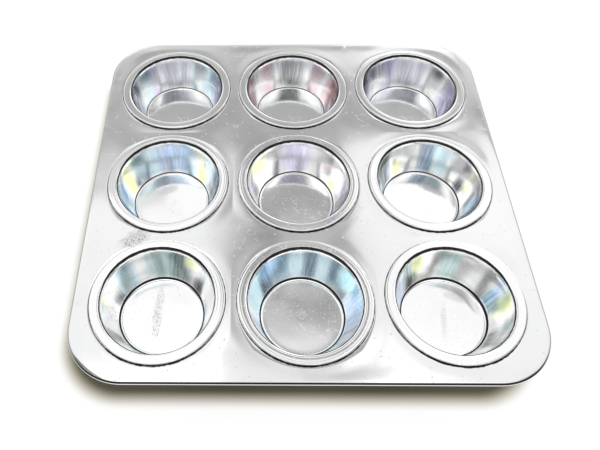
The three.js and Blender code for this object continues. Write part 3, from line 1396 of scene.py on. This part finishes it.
@dataclass(frozen=True)
class Room:
    """Grey room that the tin mirrors. Each band is read along an axis of the way out of the pan."""

    name: str = "room"
    back_wall: Band = (0.635, 0.675, 0.72, 0.43)  # along Z
    low_wall: Band = (0.48, 0.60, 0.36, 0.0)
    high_shade: Band = (0.76, 0.86, 0.0, 0.10)
    overhead: Band = (0.895, 0.95, 0.0, 0.62)
    overhead_side: Band = (0.05, 0.2, 0.0, 1.0)  # along Y
    window: Band = (0.62, 0.66, 0.60, 0.0)  # along Z
    window_left: Band = (0.05, 0.25, 0.0, 1.0)  # along X
    window_right: Band = (0.30, 0.36, 1.0, 0.0)
    near_dim: Band = (-0.1, 0.45, 0.45, 0.0)  # along Y
    near_dim_top: Band = (0.58, 0.70, 1.0, 0.0)  # along Z
    side_dim: Band = (0.42, 0.60, 0.0, 0.2)  # along X, to either side
    side_dim_low: Band = (0.40, 0.50, 0.0, 1.0)  # along Z
    side_dim_high: Band = (0.76, 0.88, 1.0, 0.0)
    front: Band = (-0.30, -0.08, 1.0, 0.0)  # along Y
    front_light: Band = (0.58, 0.80, 0.55, 1.6)  # along Z
    front_top: Band = (0.88, 0.95, 1.0, 0.4)
    skyline: Band = (-0.05, 0.12, 0.4, 1.0)
    diffuse_share: float = 0.3  # how much of the room's light falls on the table

    def build(self) -> None:
        """Make the world, which is plain white to the camera."""
        world = bpy.data.worlds.new(self.name)
        bpy.context.scene.world = world
        world.use_nodes = True
        world.node_tree.nodes.clear()
        board = Board(world.node_tree)
        x, y, z = board.split(board.add("TexCoord").outputs["Generated"])
        window = board.product(*(board.ramp(*band) for band in (
            (z, *self.window), (x, *self.window_left), (x, *self.window_right)
        )))
        overhead = board.product(board.ramp(z, *self.overhead), board.ramp(y, *self.overhead_side))
        back = board.total(
            board.ramp(z, *self.back_wall),
            (board.ramp(z, *self.low_wall), 1.0),
            (board.ramp(z, *self.high_shade), -1.0),
            (overhead, 1.0),
            (window, 1.0),
        )
        near_dim = board.product(board.ramp(y, *self.near_dim), board.ramp(z, *self.near_dim_top))
        back = board.product(back, board.math("SUBTRACT", 1.0, near_dim))
        side_dim = board.product(
            board.ramp(board.math("ABSOLUTE", x), *self.side_dim),
            board.ramp(z, *self.side_dim_low),
            board.ramp(z, *self.side_dim_high),
        )
        front = board.product(
            board.ramp(y, *self.front), board.ramp(z, *self.front_light), board.ramp(z, *self.front_top)
        )
        light = board.math("MAXIMUM", board.math("SUBTRACT", back, side_dim), front)
        path = board.add("LightPath")
        share = board.lerp(path.outputs["Is Diffuse Ray"], 1.0, self.diffuse_share)
        light = board.product(light, board.ramp(z, *self.skyline), share)
        white = (1, 1, 1, 1)
        room, backdrop = (board.add("Background", {"Color": white, "Strength": value}) for value in (light, 1.0))
        sockets = {0: path.outputs["Is Camera Ray"], 1: room.outputs[0], 2: backdrop.outputs[0]}
        mixed = board.add("MixShader", sockets)
        board.add("OutputWorld", {"Surface": mixed.outputs[0]})


@dataclass(frozen=True)
class Panel:
    """A soft overhead panel, level, with its edges as places above the table."""

    name: str
    left: float
    right: float
    front: float
    back: float
    brightness: float


@dataclass
class Studio:
    """White table, soft overhead panels, the room and the camera."""

    pan_half: float
    pan_corner: float
    effects: Effects
    room: Room = Room()
    panel_height: float = 1.0
    panels: tuple[Panel, ...] = (
        Panel("left_panel", -1.70, -0.26, 0.0, 0.69, 0.68),
        Panel("left_spill", -1.70, -0.26, 0.69, 0.87, 0.28),
        Panel("inner_panel", -0.26, -0.105, 0.0, 0.83, 0.66),
        Panel("inner_soft", -0.105, -0.075, 0.25, 0.83, 0.45),
        Panel("inner_fade", -0.075, -0.04, 0.25, 0.83, 0.22),
        Panel("right_panel", 0.23, 1.90, 0.0, 0.89, 0.66),
        Panel("ceiling_light", 0.04, 0.17, 0.42, 0.66, 0.22),
    )
    table: float = 8.0
    table_colour: Colour = (0.33, 0.31, 0.22)
    table_glow: float = 0.91
    glow_colour: Colour = (0.985, 0.99, 1.022)
    shadow_colour: Colour = (1.0, 0.92, 0.70)
    shadow_shift: Point = (-0.005, 0.0)
    shadow_start: float = -0.005  # from the pan's outline
    shadow_end: float = 0.008
    image_width: int = 600
    focal_px: float = 577.8
    axis_px: float = 237.9
    elevation: float = 57.0
    azimuth: float = 1.91
    roll: float = -1.65
    aim: tuple[float, float, float] = (-0.0404, -0.0352, 0.0244)
    distance: float = 0.372

    def lay_table(self) -> None:
        """Add the white table top, which keeps the pan's shadow; its glow fades out near the pan's outline and turns
        warm there, which paints the shadow's reach and colour.
        """
        bpy.ops.object.select_all(action="DESELECT")
        bpy.ops.mesh.primitive_plane_add(size=self.table, location=(0, 0, 0))
        table = name_new("table_top")
        board = Surface("white_table", self.shadow_shift, 0.0)
        matt = {"Base Color": (*self.table_colour, 1.0), "Roughness": 1.0, "Specular IOR Level": 0.0}
        board.plug(board.shader, matt)
        off = board.effect(self.effects.outline, {"Half": self.pan_half, "Corner": self.pan_corner})
        # painted shadow: no glow near the pan's outline, full glow beyond it
        clear = board.ramp(off, self.shadow_start, self.shadow_end)
        path = board.add("LightPath")
        seen = board.math("MAXIMUM", path.outputs["Is Camera Ray"], path.outputs["Is Glossy Ray"])
        shade = board.blend(clear, (*self.shadow_colour, 1.0), (*self.glow_colour, 1.0))
        strength = board.product(clear, self.table_glow, seen)
        glow = board.add("Emission", {"Color": shade, "Strength": strength})
        both = board.add("AddShader", {0: board.shader.outputs[0], 1: glow.outputs[0]})
        board.plug(board.tree.nodes["Material Output"], {"Surface": both.outputs[0]})
        table.data.materials.append(board.made)

    def hang_panels(self) -> None:
        """Add the soft panels."""
        for panel in self.panels:
            light = bpy.data.lights.new(panel.name, "AREA")
            light.shape = "RECTANGLE"
            light.size = panel.right - panel.left
            light.size_y = panel.back - panel.front
            light.energy = panel.brightness * light.size * light.size_y * math.pi
            lamp = bpy.data.objects.new(panel.name, light)
            lamp.location = ((panel.left + panel.right) / 2, (panel.front + panel.back) / 2, self.panel_height)
            bpy.context.scene.collection.objects.link(lamp)

    def set_camera(self) -> None:
        """Add the camera at the photograph's viewing angle."""
        lens = bpy.data.cameras.new("camera")
        lens.lens = lens.sensor_width * self.focal_px / self.image_width
        lens.shift_x = 0.5 - self.axis_px / self.image_width
        lens.clip_start, lens.clip_end = 0.01, 100.0
        turn, rise, tilt = (math.radians(a) for a in (self.azimuth, self.elevation, self.roll))
        back = Vector((math.sin(turn) * math.cos(rise), -math.cos(turn) * math.cos(rise), math.sin(rise)))
        right = (-back).cross(Vector((0, 0, 1))).normalized()
        up = right.cross(-back)
        across = right * math.cos(tilt) + up * math.sin(tilt)
        upright = -right * math.sin(tilt) + up * math.cos(tilt)
        camera = bpy.data.objects.new("camera", lens)
        axes = Matrix((across, upright, back)).transposed().to_4x4()
        camera.matrix_world = Matrix.Translation(Vector(self.aim) + back * self.distance) @ axes
        bpy.context.scene.collection.objects.link(camera)
        bpy.context.scene.camera = camera

    def build(self) -> None:
        """Set up the table, the lights, the room and the camera."""
        bpy.context.scene.view_settings.view_transform = "Standard"
        self.lay_table()
        self.hang_panels()
        self.room.build()
        self.set_camera()


def main() -> None:
    """Build the pan and the studio round it."""
    logging.basicConfig(level=logging.INFO, format="%(name)s: %(message)s")
    seam = Seam()
    _, deck_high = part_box("deck_sheet")
    _, cup_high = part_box("cup_middle_centre")
    face = cup_high[2] - seam.flange_high
    pitch = max(place.axis[0] for place in CUPS)  # the middle column stands at X = 0
    effects = Effects()
    deck = Deck(seam, face, deck_high[0], pitch)
    Studio(deck.half, deck.corner, effects).build()
    Cups(seam, face).build(effects)
    deck.build(effects)
    RimWire().build()


if __name__ == "__main__":
    main()
